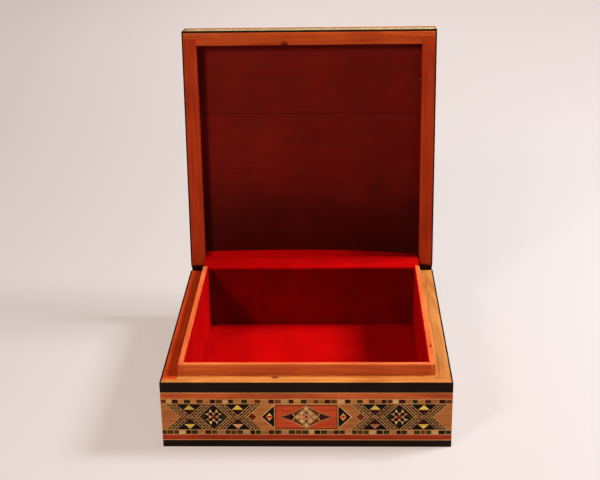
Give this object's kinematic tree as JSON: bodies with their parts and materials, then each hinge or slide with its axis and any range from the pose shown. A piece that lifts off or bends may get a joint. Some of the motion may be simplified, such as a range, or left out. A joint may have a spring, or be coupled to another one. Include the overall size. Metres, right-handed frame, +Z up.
{
  "type": "wooden puzzle box",
  "caption": "Square marquetry puzzle box with a hinged lid, velvet-lined interior, raised lip and a hidden side lock behind a sliding base strip",
  "frame": {"origin": "centre of the underside of the box", "axes": "+Z up, front face towards -Y, hinge at the back towards +Y, +X to the right"},
  "size_m": [0.18, 0.2085, 0.2212],
  "materials": {
    "rim_wood": "satin",
    "bottom_wood": "matte",
    "felt": "matte",
    "lip_wood": "satin",
    "velvet": "matte",
    "ebony": "gloss",
    "red_wood": "gloss",
    "light_wood": "gloss",
    "mosaic": "gloss",
    "marquetry": "gloss",
    "panel_wood": "satin",
    "brass": "satin",
    "steel": "satin"
  },
  "bodies": {
    "box": {"front_wall": "rim_wood", "back_wall": "rim_wood", "left_wall": "rim_wood", "right_wall": "rim_wood", "bottom_panel": "bottom_wood", "base_felt": "felt", "front_liner": "lip_wood", "back_liner": "lip_wood", "left_liner": "lip_wood", "right_liner": "lip_wood", "velvet_floor": "velvet", "velvet_front": "velvet", "velvet_back": "velvet", "velvet_left": "velvet", "velvet_right": "velvet", "hinge_cloth": "velvet", "black_rim_bands": "ebony", "black_base_bands": "ebony", "upper_red_bands": "red_wood", "lower_red_bands": "red_wood", "body_stringing": "light_wood", "upper_mosaic_borders": "mosaic", "lower_mosaic_borders": "mosaic", "marquetry_front": "marquetry", "marquetry_back": "marquetry", "marquetry_left": "marquetry", "marquetry_right": "marquetry", "hinge_leaf_body": "brass", "hinge_pin": "steel", "hinge_screws_body": "brass"},
    "lid": {"lid_front_rail": "rim_wood", "lid_back_rail": "rim_wood", "lid_left_rail": "rim_wood", "lid_right_rail": "rim_wood", "lid_panel_front": "panel_wood", "lid_panel_back": "panel_wood", "lid_black_bands": "ebony", "lid_edge_mosaics": "mosaic", "lid_red_bands": "red_wood", "lid_stringing": "light_wood", "lid_top_black_border": "ebony", "lid_top_mosaic_border": "mosaic", "lid_top_red_border": "red_wood", "lid_top_stringing": "light_wood", "lid_top_marquetry": "marquetry", "hinge_leaf_lid": "brass", "hinge_screws_lid": "brass", "lid_catch_pin": "brass"},
    "secret_strip": {"strip_core": "rim_wood", "strip_black_band": "ebony", "strip_red_band": "red_wood", "strip_stringing": "light_wood"},
    "lock_slide": {"lock_plate": "brass", "lock_thumb_tab": "brass"}
  },
  "joints": [
    {"name": "lid_hinge", "type": "hinge", "parent": "box", "child": "lid", "pos_m": [0, 0.0867, 0.045], "axis": [1, 0, 0], "range_deg": [0, 94.5], "deforming": ["hinge_cloth"]},
    {"name": "strip_slide", "type": "slide", "parent": "box", "child": "secret_strip", "axis": [0, 1, 0], "range_m": [0, 0.016]},
    {"name": "lock_slide_travel", "type": "slide", "parent": "box", "child": "lock_slide", "axis": [0, 1, 0], "range_m": [0, 0.007]}
  ]
}
